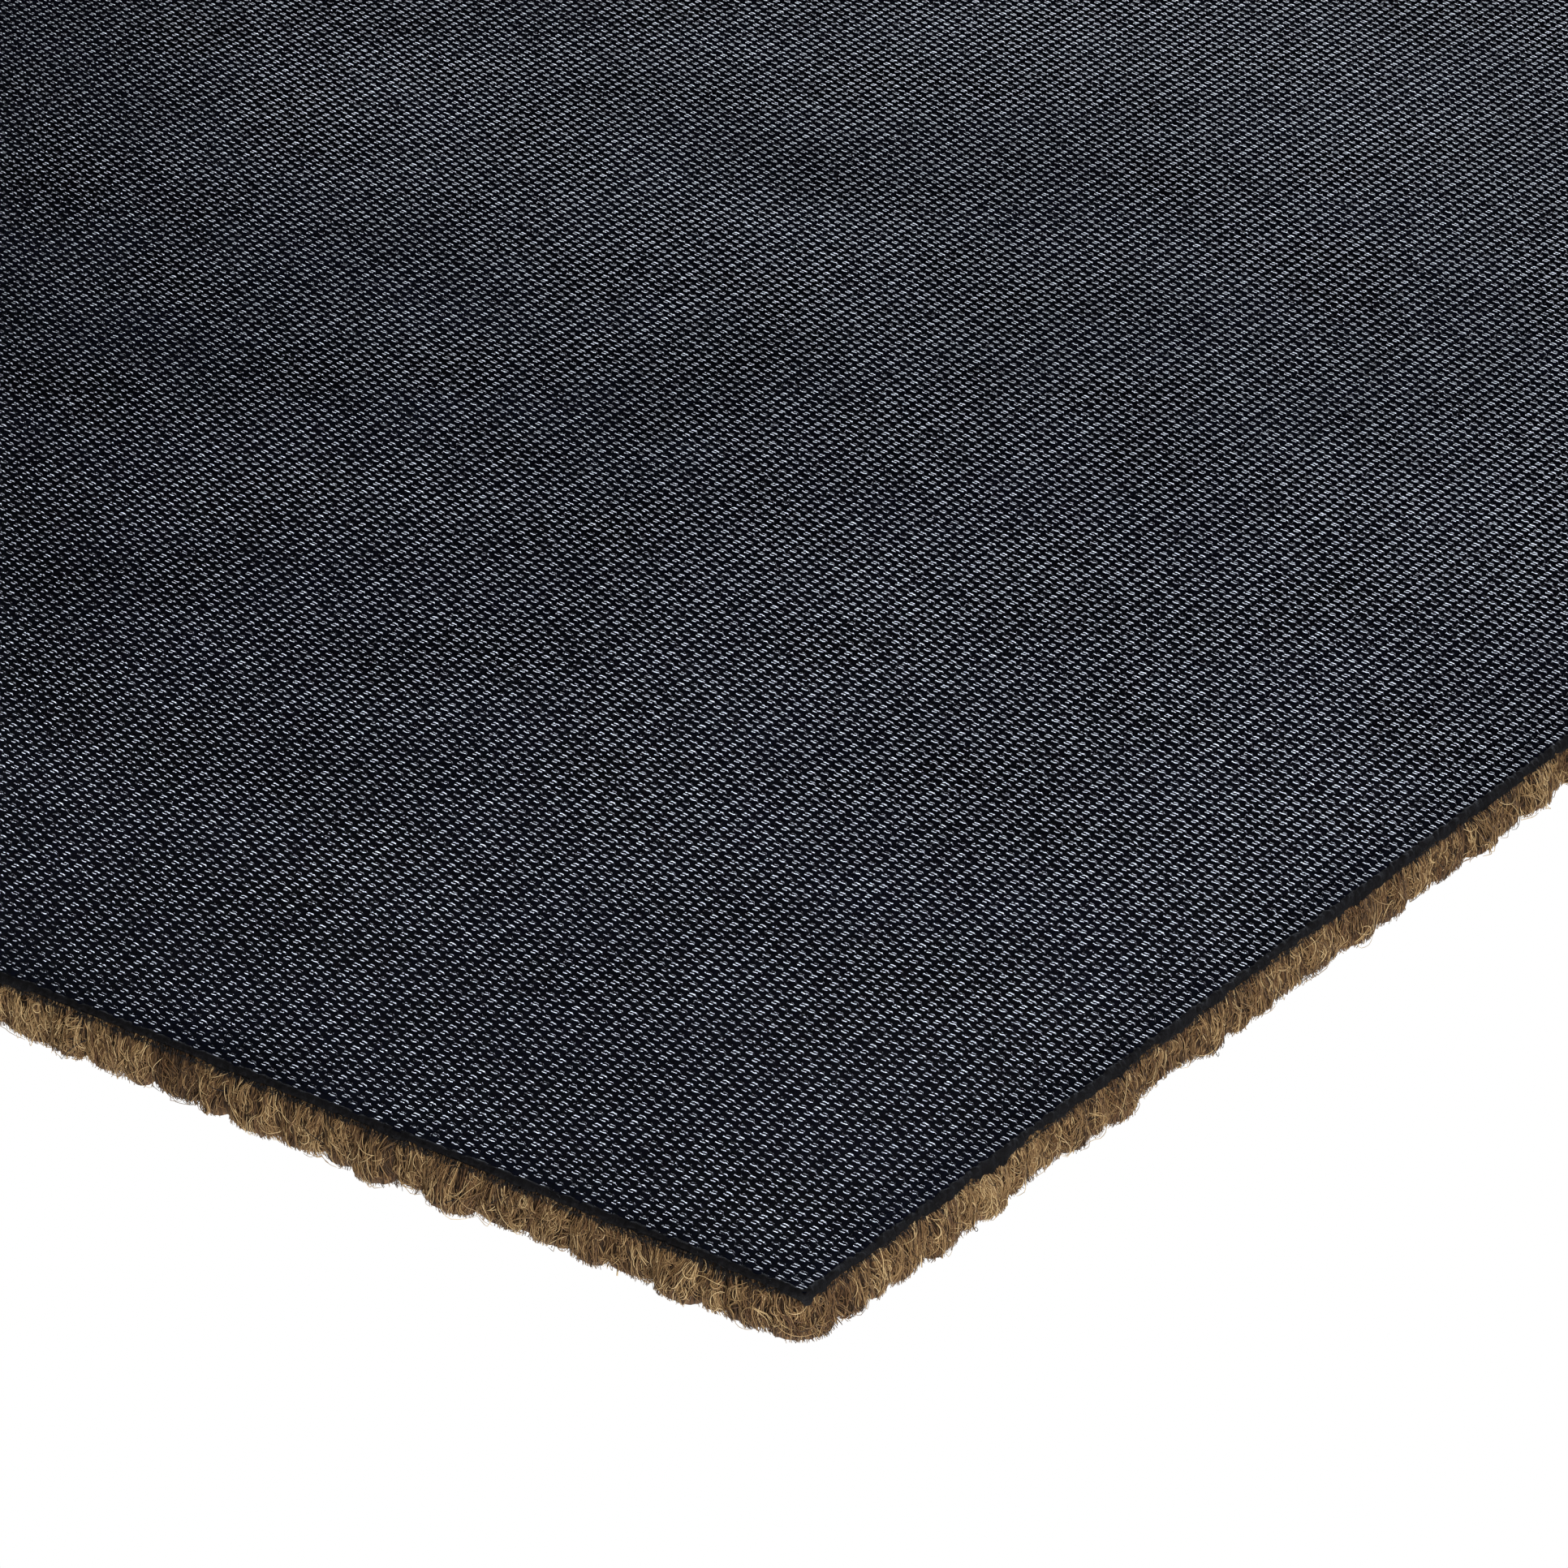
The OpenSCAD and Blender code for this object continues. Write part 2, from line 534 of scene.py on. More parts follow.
def add_lights():
    """Four soft lights and an even one from straight above."""
    aim = VIEW_AIM
    # For the underside: a low band beyond the mat, which the pips reflect and the flats between them
    # don't, and a fill on the camera's side
    band_place = aim + FAR * 5.0 + DOWN * 0.63 + SIDE * 2.8
    fill_place = aim - FAR * 1.7 + DOWN * 0.9 + SIDE * 0.5
    add_light("band", band_place, aim, 7.9, 1.1, 350.0, (0.82, 0.88, 1.0))
    add_light("fill", fill_place, aim, 1.4, 1.2, 48.0, (1.0, 0.95, 0.89))
    # For the pile, from above
    add_light("key", Vector((-1.4, -1.8, 2.4)), (0, 0, 0), 1.6, 1.6, 62.0)
    add_light("rim", Vector((1.8, 1.4, 1.6)), (0, 0, 0), 1.4, 1.4, 32.0)
    # Straight down, so that the floor doesn't turn dark away from the mat
    overhead = bpy.data.lights.new("overhead", "SUN")
    overhead.energy = 1.3
    overhead.angle = math.radians(30)
    bpy.context.scene.collection.objects.link(bpy.data.objects.new("overhead", overhead))


add_world()
add_floor()
add_lights()
bpy.context.scene.view_settings.view_transform = "Standard"

# ---------------------------------------------
# Vinyl backing
# ---------------------------------------------
SHEET_INSET = 0.35 * MM       # the embossed face stops here, under the torn edge
SHEET_TOP = SHEET_HIGH[2] - 0.15 * MM
WAVE_HEIGHT = 1.0 * MM
LONG_WAVES, SHORT_WAVES = Field(85 * MM), Field(38 * MM)
# A pip's rings of six: radius across the rows and along them, depth from the pip's end as a share of
# its height, and slope outwards. They are its side, the round of its end, and the dimple in it.
PIP_RINGS = [
    (1.16 * MM, 1.26 * MM, 0.50, 0.72),
    (0.88 * MM, 1.00 * MM, 0.03, 0.27),
    (0.46 * MM, 0.52 * MM, 0.12, -0.16),
]
PIP_MIDDLE_DEPTH = 0.16
CELL = 3 + 6 * len(PIP_RINGS)     # vertices a pip's cell owns: two hexagon corners, the rings, the middle


def lie_of_sheet(x, y):
    """How far the underside lifts off the floor: long shallow waves, as a mat that was rolled up has."""
    waves = 0.5 + 0.35 * LONG_WAVES.at(x, y) + 0.15 * SHORT_WAVES.at(x, y)
    return WAVE_HEIGHT * waves


def slope_of_sheet(x, y):
    """The slope of those waves along X and along Y."""
    reach = 1 * MM
    along_x = (lie_of_sheet(x + reach, y) - lie_of_sheet(x - reach, y)) / (2 * reach)
    along_y = (lie_of_sheet(x, y + reach) - lie_of_sheet(x, y - reach)) / (2 * reach)
    return along_x, along_y


def pip_grid():
    """Centres of the pips in staggered rows, and how the cells share their hexagon corners."""
    rows = int((2 * (HALF_W - SHEET_INSET) - PIP_PITCH) / PIP_ROW) + 1
    cols = int((2 * (HALF_L - SHEET_INSET) - 1.5 * PIP_PITCH) / PIP_PITCH) + 1
    i, j = np.meshgrid(np.arange(-1, rows + 1), np.arange(-1, cols + 1), indexing="ij")
    x = (i - (rows - 1) / 2) * PIP_ROW
    y = (j - (cols - 1) / 2 + 0.5 * (i % 2) - 0.25) * PIP_PITCH
    return rows, cols, i, j, x, y


def embossed_sheet():
    """Vertices, quads and triangles of the whole sheet: pips below, plain sides and top."""
    rows, cols, i, j, x, y = pip_grid()
    near = (PIP_ROW**2 - PIP_PITCH**2 / 4) / (2 * PIP_ROW)
    far = PIP_ROW - near
    bevel = math.atan2(PIP_PITCH / 2, near)
    angles = np.array([0, bevel, math.pi - bevel, math.pi, math.pi + bevel, -bevel])
    shape = x.shape
    edge_gap = np.minimum(HALF_W - np.abs(x), HALF_L - np.abs(y))
    corner_gap = np.hypot(HALF_W - np.abs(x), HALF_L - np.abs(y))
    fade = 3.2 * MM + 1.8 * MM * Field(7 * MM).at(x, y)
    relief = (0.15 + 0.85 * smooth(edge_gap / fade)) * (0.35 + 0.65 * smooth(corner_gap / (20 * MM)))
    relief = relief * rng.uniform(0.86, 1.08, shape)
    girth = rng.uniform(0.93, 1.05, shape)
    shift_x, shift_y = rng.normal(0, 0.05 * MM, (2, *shape))
    verts = np.zeros((*shape, CELL, 3))
    tilts = np.zeros((*shape, CELL, 2))
    verts[..., 0, 0], verts[..., 0, 1] = x + far, y
    verts[..., 1, 0], verts[..., 1, 1] = x - far, y
    verts[..., 0:2, 2] = PIP_HEIGHT
    for k, angle in enumerate(angles):
        for number, (across, along, depth, slope) in enumerate(PIP_RINGS):
            spot = 2 + 6 * number + k
            reach = girth * rng.uniform(0.94, 1.06, shape)
            verts[..., spot, 0] = x + shift_x + reach * across * math.cos(angle)
            verts[..., spot, 1] = y + shift_y + reach * along * math.sin(angle)
            level = depth + rng.uniform(-0.03, 0.03, shape)
            verts[..., spot, 2] = PIP_HEIGHT * (1 - relief * (1 - level))
            lean = relief * (slope * rng.uniform(0.8, 1.2, shape) + rng.normal(0, 0.04, shape))
            tilts[..., spot, 0] = lean * math.cos(angle)
            tilts[..., spot, 1] = lean * math.sin(angle)
    verts[..., -1, 0], verts[..., -1, 1] = x + shift_x, y + shift_y
    verts[..., -1, 2] = PIP_HEIGHT * (1 - relief * (1 - PIP_MIDDLE_DEPTH))
    tilts[..., -1, :] = rng.normal(0, 0.06, (*shape, 2))

    first = np.arange(x.size).reshape(shape) * CELL
    inside = (i >= 0) & (i < rows) & (j >= 0) & (j < cols)
    ii, jj = np.nonzero(inside)
    stagger = i[ii, jj] % 2
    up, down = jj + stagger, jj - 1 + stagger
    own = first[ii, jj]
    # The six corners of the cell, each one owned by this cell or by a neighbour
    corners = np.stack([
        own,
        first[ii + 1, up] + 1,
        first[ii - 1, up],
        own + 1,
        first[ii - 1, down],
        first[ii + 1, down] + 1,
    ], 1)
    quads, tris = [], []
    for k in range(6):
        n = (k + 1) % 6
        outer, outer_next = corners[:, k], corners[:, n]
        for number in range(len(PIP_RINGS)):
            ring = own + 2 + 6 * number
            quads.append(np.stack([outer, ring + k, ring + n, outer_next], 1))
            outer, outer_next = ring + k, ring + n
        tris.append(np.stack([outer, own + CELL - 1, outer_next], 1))
    quads, tris = np.concatenate(quads), np.concatenate(tris)
    verts, tilts = verts.reshape(-1, 3), tilts.reshape(-1, 2)

    used = np.unique(np.concatenate([quads.ravel(), tris.ravel()]))
    renumber = np.full(len(verts), -1)
    renumber[used] = np.arange(len(used))
    verts, tilts, quads, tris = verts[used], tilts[used], renumber[quads], renumber[tris]
    loop = border_loop(quads, tris, len(verts))
    snap_border(verts, loop)
    slope_x, slope_y = slope_of_sheet(verts[:, 0], verts[:, 1])
    normals = np.stack([tilts[:, 0] + slope_x, tilts[:, 1] + slope_y, -np.ones(len(verts))], 1)
    normals /= np.linalg.norm(normals, axis=1, keepdims=True)
    verts[:, 2] += lie_of_sheet(verts[:, 0], verts[:, 1])

    top = verts[loop].copy()
    top[:, 2] = SHEET_TOP
    top_ids = len(verts) + np.arange(len(loop))
    sides = np.stack([loop, np.roll(loop, -1), np.roll(top_ids, -1), top_ids], 1)
    middle = len(verts) + len(loop)
    lid = np.stack([top_ids, np.roll(top_ids, -1), np.full(len(loop), middle)], 1)
    verts = np.concatenate([verts, top, [[0, 0, SHEET_TOP]]])
    return verts, normals, quads, tris, sides, lid


def border_loop(quads, tris, count):
    """The vertices round the border, in order, so that the sides can be raised from them."""
    pairs = [quads[:, [k, (k + 1) % 4]] for k in range(4)] + [tris[:, [k, (k + 1) % 3]] for k in range(3)]
    pairs = np.concatenate(pairs).astype(np.int64)
    keys = pairs.min(1) * count + pairs.max(1)
    _, first, uses = np.unique(keys, return_index=True, return_counts=True)
    border = pairs[first[uses == 1]]
    following = {int(a): int(b) for a, b in border}
    loop = [int(border[0, 0])]
    while len(loop) < len(border):
        loop.append(following[loop[-1]])
    return np.array(loop)[::-1]


def snap_border(verts, loop):
    """Moves the border's zigzag out to the straight sides, with one vertex at each corner."""
    w, l = HALF_W - SHEET_INSET, HALF_L - SHEET_INSET
    x, y = verts[loop, 0], verts[loop, 1]
    to_side = (w - np.abs(x)) < (l - np.abs(y))
    verts[loop, 0] = np.where(to_side, np.sign(x) * w, x)
    verts[loop, 1] = np.where(to_side, y, np.sign(y) * l)
    for sx in (-1, 1):
        for sy in (-1, 1):
            nearest = loop[np.argmin(np.hypot(verts[loop, 0] - sx * w, verts[loop, 1] - sy * l))]
            verts[nearest, :2] = sx * w, sy * l


def torn_edge():
    """The lumpy lip of vinyl round the sheet, as one closed ring. It is thicker on the long sides."""
    outline = Outline(HALF_W, HALF_L, SHEET_CORNER_R)
    total = outline.total
    count = int(total / (0.4 * MM))
    s = np.arange(count) * total / count
    point, out = outline.at(s)
    around = 14
    heavy = out[:, 0] ** 2
    reach = 0.15 * MM * wander(s, 9 * MM, total) + 0.15 * MM * wander(s, 1.5 * MM, total)
    reach = reach + 0.25 * MM * heavy + 0.20 * MM * wander(s, 0.8 * MM, total) * (0.4 + heavy)
    sag = 0.40 * MM * wander(s, 14 * MM, total) + 0.30 * MM * wander(s, 2.5 * MM, total)
    long_sag = 0.65 + 0.8 * wander(s, 6 * MM, total) + 0.4 * wander(s, 1.8 * MM, total)
    sag = sag + heavy * long_sag * MM
    drip = smooth((wander(s, 12 * MM, total) - 0.6) / 0.3) * (1.2 + 0.8 * heavy) * MM
    lift = lie_of_sheet(point[:, 0], point[:, 1]) * 0.9
    ragged = wander(s, 1.3 * MM, total) + 0.5 * wander(s, 4 * MM, total)
    verts = np.zeros((count, around, 3))
    for k in range(around):
        angle = 2 * math.pi * k / around
        lump = 1 + 0.22 * wander(s, 1.1 * MM, total) + 0.16 * rng.uniform(-1, 1, count)
        outward = -0.75 * MM + 0.95 * MM * math.cos(angle) * lump + reach
        low = lift + 0.32 * MM + 0.22 * MM * ragged
        high = (2.30 + 0.35 * heavy) * MM + sag + drip
        rise = (low + high) / 2 + (high - low) / 2 * math.sin(angle) * (1 + 0.05 * rng.uniform(-1, 1, count))
        verts[:, k, :2] = point + out * outward[:, None]
        verts[:, k, 2] = np.maximum(rise, 0.02 * MM)
    ids = np.arange(count * around).reshape(count, around)
    ahead = np.roll(ids, -1, 0)
    quads = np.stack([ids, ahead, np.roll(ahead, -1, 1), np.roll(ids, -1, 1)], -1).reshape(-1, 4)
    return verts.reshape(-1, 3), quads


def add_vinyl():
    """The backing: the embossed sheet with its sides and top, and the torn lip round it."""
    verts, normals, quads, tris, sides, lid = embossed_sheet()
    lip_verts, lip_quads = torn_edge()
    all_quads = np.concatenate([quads, sides, lip_quads + len(verts)])
    all_tris = np.concatenate([tris, lid])
    quad_slots = np.concatenate([np.zeros(len(quads)), np.ones(len(sides) + len(lip_quads))])
    tri_slots = np.concatenate([np.zeros(len(tris)), np.ones(len(lid))])
    piece = mesh_piece(
        "vinyl_sheet", np.concatenate([verts, lip_verts]), all_quads, all_tris,
        [VINYL, TORN], quad_slots, tri_slots,
    )
    # The rest keeps the normals of its faces, which zeros stand for
    all_normals = np.zeros((len(piece.data.vertices), 3))
    all_normals[:len(normals)] = normals
    piece.data.normals_split_custom_set_from_vertices(all_normals)
    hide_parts("vinyl_backing")


# ---------------------------------------------
# Coir pile
# ---------------------------------------------
ROOT_Z = SHEET_HIGH[2] - 0.8 * MM
# How many of each, per metre of the pile's outline
LAID_PER_M = 7000
LOCKS_PER_M = 1900
LOCK_FIBRES = 4               # in one lock
STRAYS_PER_M = 420
FUZZ_PER_M = 7000
TOP_FIBRES_PER_M2 = 250_000
BED_DEPTH = 0.55 * MM


class Bundles:
    """The lumps that the side of the pile is gathered into, along the pile's outline."""

    def __init__(self, total):
        cuts = [0.0]
        while cuts[-1] < total - 12 * MM:
            cuts.append(cuts[-1] + rng.uniform(6 * MM, 15 * MM))
        self.edges = np.array(cuts[:-1] + [total])
        count = len(self.edges) - 1
        self.total = total
        self.middle = (self.edges[1:] + self.edges[:-1]) / 2
        self.width = np.diff(self.edges)
        self.bulge = rng.uniform(1.3, 4.2, count) * MM
        self.drop = rng.uniform(0.0, 1.5, count) * MM
        self.lean = rng.normal(0, 0.20, count)
        self.fan = rng.uniform(-0.4, 1.5, count) * MM
        self.shade = rng.normal(0, 0.55, count)
        self.lumps = [rng.uniform(-1, 1, (int(total / spacing), 6)) for spacing in (5 * MM, 2.2 * MM)]

    def find(self, s):
        """The bundle at s, and how far s is from its middle, -1 to 1."""
        s = s % self.total
        index = np.clip(np.searchsorted(self.edges, s, side="right") - 1, 0, len(self.middle) - 1)
        return index, (s - self.middle[index]) / (self.width[index] / 2)

    def lump(self, s, rise):
        """Smaller lumps over the side, from -1 to 1."""
        value = 0.0
        for grid, share in zip(self.lumps, (0.65, 0.35)):
            u = (s % self.total) / self.total * len(grid)
            v = np.clip(rise, 0, 1) * (grid.shape[1] - 1.001)
            i, j = u.astype(int) % len(grid), v.astype(int)
            k = (i + 1) % len(grid)
            fu, fv = smooth(u - np.floor(u)), smooth(v - j)
            low = grid[i, j] + (grid[k, j] - grid[i, j]) * fu
            high = grid[i, j + 1] + (grid[k, j + 1] - grid[i, j + 1]) * fu
            value = value + share * (low + (high - low) * fv)
        return value

    def crown(self, s):
        """Height of the cut ends."""
        index, off = self.find(s)
        scallop = 0.7 * MM * off**2
        return PILE_TOP - self.drop[index] - scallop + 0.35 * MM * self.lump(s, np.full_like(s, 0.9))

    def surface(self, s, z):
        """How far the side stands out from the pile's outline."""
        index, off = self.find(s)
        dome = 0.35 + 0.65 * np.sqrt(np.clip(1 - 0.96 * off**2, 0, 1))
        rise = np.clip((z - SHEET_HIGH[2]) / (PILE_TOP - SHEET_HIGH[2]), 0, 1)
        belly = np.sin(np.pi * np.clip(rise, 0, 1) ** 0.8 * 0.62)
        lumps = 0.45 * MM * self.lump(s, rise) * smooth(rise * 4)
        return -0.5 * MM + self.bulge[index] * dome * belly + lumps


def lay_on_side(outline, s, out, z):
    """Points from lengths along the outline, distances outwards and heights."""
    shape = s.shape
    point, outward = outline.at(s.ravel())
    flat = point + outward * out.reshape(-1, 1)
    return np.concatenate([flat, z.reshape(-1, 1)], 1).reshape(*shape, 3)


def tone_mix(count, shift, spread=1.5):
    """A tone for each fibre: mostly the middle browns, moved lighter or darker by shift."""
    tone = rng.normal(3.0, spread, count) + shift
    return np.clip(np.round(tone), UMBER, STRAW).astype(int)


def stain_and_shade_height(s, total):
    """How far up the roots the fibres turn black: vinyl stain, and painted shadow under the vinyl's lip."""
    stain_and_shade = 2.4 * MM + 0.8 * MM * wander(s, 6 * MM, total)
    return stain_and_shade + smooth((wander(s, 13 * MM, total) - 0.45) / 0.4) * 2.0 * MM


def laid_fibres(outline, bundles):
    """The fibres that run from the vinyl to the cut ends, packed side by side in leaning bundles; the deeper
    one sits behind the side, the darker its tone, as painted shade.
    """
    count = int(outline.total * LAID_PER_M)
    start = np.sort(rng.uniform(0, outline.total, count))
    index, off = bundles.find(start)
    rings = 7
    t = np.linspace(0, 1, rings)[None, :]
    lock = (start / (0.9 * MM)).astype(int)
    locks = lock.max() + 1
    lean = bundles.lean[index] + rng.normal(0, 0.20, locks)[lock] + rng.normal(0, 0.10, count)
    bend = rng.normal(0, 0.9, locks)[lock] * MM + rng.normal(0, 0.45, count) * MM
    sway = rng.normal(0, 0.45, locks)[lock] * MM + rng.normal(0, 0.35, count) * MM
    depth = np.minimum(rng.exponential(0.35, count), 1.4) * MM
    top = bundles.crown(start) - rng.exponential(0.22, count) * MM
    height = (top - ROOT_Z)[:, None]
    s = start[:, None] + lean[:, None] * height * t + (bundles.fan[index] * off)[:, None] * t**2
    s = s + bend[:, None] * np.sin(np.pi * t) + sway[:, None] * np.sin(2 * np.pi * t)
    z = ROOT_Z + height * t
    out = bundles.surface(s, z) - depth[:, None] + 0.12 * MM * rng.normal(0, 1, (count, rings))
    radii = rng.uniform(0.8, 1.25, count)[:, None] * FIBRE_R * np.array([1.0, 1.0, 1.0, 1.0, 0.95, 0.9, 0.7])
    # Painted shade: the deeper a fibre sits behind the side, the darker its tone
    tone = tone_mix(count, bundles.shade[index] - 0.35 + rng.normal(0, 0.5, locks)[lock] - depth / MM * 0.7)
    stain_and_shade = stain_and_shade_height(start, outline.total) + 0.7 * MM * rng.normal(0, 1, count)
    return lay_on_side(outline, s, out, z), radii, tone, stain_and_shade


def curled_fibres(outline, bundles):
    """Locks of a few fibres each that lie across the side of the pile in arcs."""
    locks = int(outline.total * LOCKS_PER_M)
    rings = 8
    t = np.linspace(0, 1, rings)[None, :]
    lock = np.repeat(np.arange(locks), LOCK_FIBRES)
    count = len(lock)
    middle_s = rng.uniform(0, outline.total, locks)
    middle_z = rng.uniform(4 * MM, 12.5 * MM, locks)
    index, _ = bundles.find(middle_s)
    angle = rng.normal(0, 0.50, locks) + bundles.lean[index]
    turn = rng.normal(0, 1.25, locks)
    length = rng.uniform(2.5 * MM, 7.0 * MM, locks)
    spread = rng.uniform(0.3, 1.0, locks) * MM
    heading = angle[lock][:, None] + rng.normal(0, 0.22, count)[:, None]
    heading = heading + (turn[lock] + rng.normal(0, 0.25, count))[:, None] * (t - 0.5) * 2
    step = (length[lock] * rng.uniform(0.75, 1.2, count))[:, None] / (rings - 1)
    run = np.cumsum(np.sin(heading) * step, axis=1)
    climb = np.cumsum(np.cos(heading) * step, axis=1)
    run -= run.mean(1, keepdims=True)
    climb -= climb.mean(1, keepdims=True)
    aside = rng.normal(0, 1, count) * spread[lock]
    s = middle_s[lock][:, None] + run + (aside * np.cos(angle[lock]))[:, None]
    z = middle_z[lock][:, None] + climb - (aside * np.sin(angle[lock]))[:, None]
    crown = bundles.crown(s) - 0.15 * MM
    z = np.minimum(np.maximum(z, 2.4 * MM), crown)
    lift = rng.uniform(-0.25, 0.30, count)[:, None] * MM
    out = bundles.surface(s, z) + lift + 0.45 * MM * (np.sin(np.pi * t) - 0.6)
    radii = rng.uniform(0.7, 1.1, count)[:, None] * FIBRE_R * np.array([0.7, 0.9, 1, 1, 1, 1, 0.9, 0.7])
    tone = tone_mix(count, bundles.shade[index][lock] + 0.5 + rng.normal(0, 0.7, locks)[lock], 1.4)
    stain_and_shade = stain_and_shade_height(middle_s[lock], outline.total)
    return lay_on_side(outline, s, out, z), radii, tone, stain_and_shade - 0.8 * MM


def stray_fibres(outline, bundles):
    """Loose ends: thin, light or black, curled clear of the others."""
    count = int(outline.total * STRAYS_PER_M)
    rings = 8
    t = np.linspace(0, 1, rings)[None, :]
    start_s = rng.uniform(0, outline.total, count)
    start_z = rng.uniform(3 * MM, 11 * MM, count)
    heading = rng.normal(0, 0.9, count)[:, None] + rng.normal(0, 1.1, count)[:, None] * t
    step = rng.uniform(5 * MM, 13 * MM, count)[:, None] / (rings - 1)
    s = start_s[:, None] + np.cumsum(np.sin(heading) * step, axis=1)
    z = start_z[:, None] + np.cumsum(np.cos(heading) * step, axis=1)
    z = np.minimum(np.maximum(z, 2.2 * MM), bundles.crown(s) + 0.1 * MM)
    lift = rng.uniform(0.2, 1.1, count)[:, None] * MM
    out = bundles.surface(s, z) - 0.2 * MM + lift * np.sin(np.pi * t**0.8)
    black = rng.uniform(size=count) < 0.10
    radii = rng.uniform(0.6, 0.95, count)[:, None] * FIBRE_R * np.array([0.8, 1, 1, 1, 1, 0.9, 0.8, 0.6])
    tone = np.where(black, STAINED_AND_SHADED, tone_mix(count, 2.2))
    return lay_on_side(outline, s, out, z), radii, tone, np.zeros(count)


def edge_fuzz(outline, bundles):
    """Short ends of fibre, black with vinyl, that stand out of the torn edge in every direction."""
    count = int(outline.total * FUZZ_PER_M)
    rings = 3
    t = np.linspace(0, 1, rings)[None, :]
    start_s = rng.uniform(0, outline.total, count)
    _, outward = outline.at(start_s)
    heavy = outward[:, 0] ** 2
    start_z = 2.0 * MM + rng.uniform(0, 1, count) * (1.4 + 1.3 * heavy) * MM
    heading = rng.normal(0, 1.0, count)[:, None] + rng.normal(0, 0.8, count)[:, None] * t
    step = rng.uniform(0.5 * MM, 1.5 * MM, count)[:, None] / (rings - 1)
    s = start_s[:, None] + np.cumsum(np.sin(heading) * step, axis=1)
    z = start_z[:, None] + np.cumsum(np.cos(heading) * step, axis=1)
    reach = rng.uniform(0.1, 0.75, count)[:, None] * MM
    lip = 0.65 * MM + 0.25 * MM * heavy
    edge = lip[:, None] * smooth(1.6 - (z - 2.2 * MM) / (1.6 * MM))
    out = np.maximum(bundles.surface(s, z), edge) + reach * t - 0.25 * MM
    radii = rng.uniform(0.6, 1.0, count)[:, None] * FIBRE_R * np.array([1.0, 0.9, 0.6])
    return lay_on_side(outline, s, out, z), radii, np.full(count, STAINED_AND_SHADED), np.zeros(count)


def top_fibres():
    """The cut ends over the whole pile, in tufts that lean together."""
    area = 4 * PILE_HALF_W * PILE_HALF_L
    count = int(area * TOP_FIBRES_PER_M2)
    x = rng.uniform(-PILE_HALF_W, PILE_HALF_W, count)
    y = rng.uniform(-PILE_HALF_L, PILE_HALF_L, count)
    inside = np.hypot(
        np.maximum(np.abs(x) - (PILE_HALF_W - PILE_CORNER_R), 0),
        np.maximum(np.abs(y) - (PILE_HALF_L - PILE_CORNER_R), 0),
    ) < PILE_CORNER_R
    x, y = x[inside], y[inside]
    count = len(x)
    edge = np.minimum(PILE_HALF_W - np.abs(x), PILE_HALF_L - np.abs(y))
    free = smooth(edge / (4 * MM))
    lean_x = free * (1.6 * MM * Field(11 * MM).at(x, y) + rng.normal(0, 1.1 * MM, count))
    lean_y = free * (1.6 * MM * Field(11 * MM).at(x, y) + rng.normal(0, 1.1 * MM, count))
    top = PILE_TOP - 0.9 * MM * (0.5 + 0.5 * Field(13 * MM).at(x, y)) - rng.exponential(0.6 * MM, count)
    top = top - 1.2 * MM * (1 - free)
    root = top - rng.uniform(3.2 * MM, 5.0 * MM, count)
    paths = np.empty((count, 2, 3))
    paths[:, 0] = np.stack([x, y, root], 1)
    paths[:, 1] = np.stack([x + lean_x, y + lean_y, top], 1)
    radii = rng.uniform(1.3, 2.3, count)[:, None] * FIBRE_R * np.array([1.2, 0.85])[None, :]
    tone = tone_mix(count, 0.9 * Field(12 * MM).at(x, y) + 1.6)
    return paths, radii, tone, np.zeros(count)


def row_of(x):
    """Which row a fibre is rooted in."""
    return np.clip(((x - ROW_START) / ROW_PITCH).astype(int), 0, len(ROW_NODES) - 1)


def fibre_piece(name, row, groups):
    """One piece of fibres, in the tones they were given."""
    verts, quads, tris, quad_slots, tri_slots = [], [], [], [], []
    base = 0
    for paths, radii, tone, stain_and_shade in groups:
        v, q, t = tube_strands(paths, radii)
        level = (paths[:, 1:, 2] + paths[:, :-1, 2]) / 2
        # Up to that height a fibre is black: vinyl stain, and painted shadow under the lip
        slots = np.where(level < stain_and_shade[:, None], STAINED_AND_SHADED, tone[:, None])
        verts.append(v)
        quads.append(q.reshape(-1, 4) + base)
        tris.append(t.reshape(-1, 3) + base)
        quad_slots.append(np.repeat(slots, 3, axis=1).ravel())
        tri_slots.append(np.stack([slots[:, 0], slots[:, -1]], 1).ravel())
        base += len(v)
    piece = mesh_piece(
        name, np.concatenate(verts), np.concatenate(quads), np.concatenate(tris), FIBRES,
        np.concatenate(quad_slots), np.concatenate(tri_slots),
    )
    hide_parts(ROW_NODES[row])


def add_fibres(sets):
    """The fibres of each row. The two outer rows have many, so theirs are in stretches along the row."""
    last = len(ROW_NODES) - 1
    for row in range(len(ROW_NODES)):
        stretches = 4 if row in (0, last) else 1
        for stretch in range(stretches):
            low = -1 + 2 * stretch / stretches
            high = low + 2 / stretches
            groups = []
            for paths, radii, tone, stain_and_shade in sets:
                root = paths[:, 0]
                along = np.clip(root[:, 1] / PILE_HALF_L, -0.9999, 0.9999)
                chosen = (row_of(root[:, 0]) == row) & (along >= low) & (along < high)
                if chosen.any():
                    groups.append((paths[chosen], radii[chosen], tone[chosen], stain_and_shade[chosen]))
            name = ROW_NODES[row].replace("coir_row", "coir_fibres")
            if stretches > 1:
                name += "_" + "abcd"[stretch]
            fibre_piece(name, row, groups)


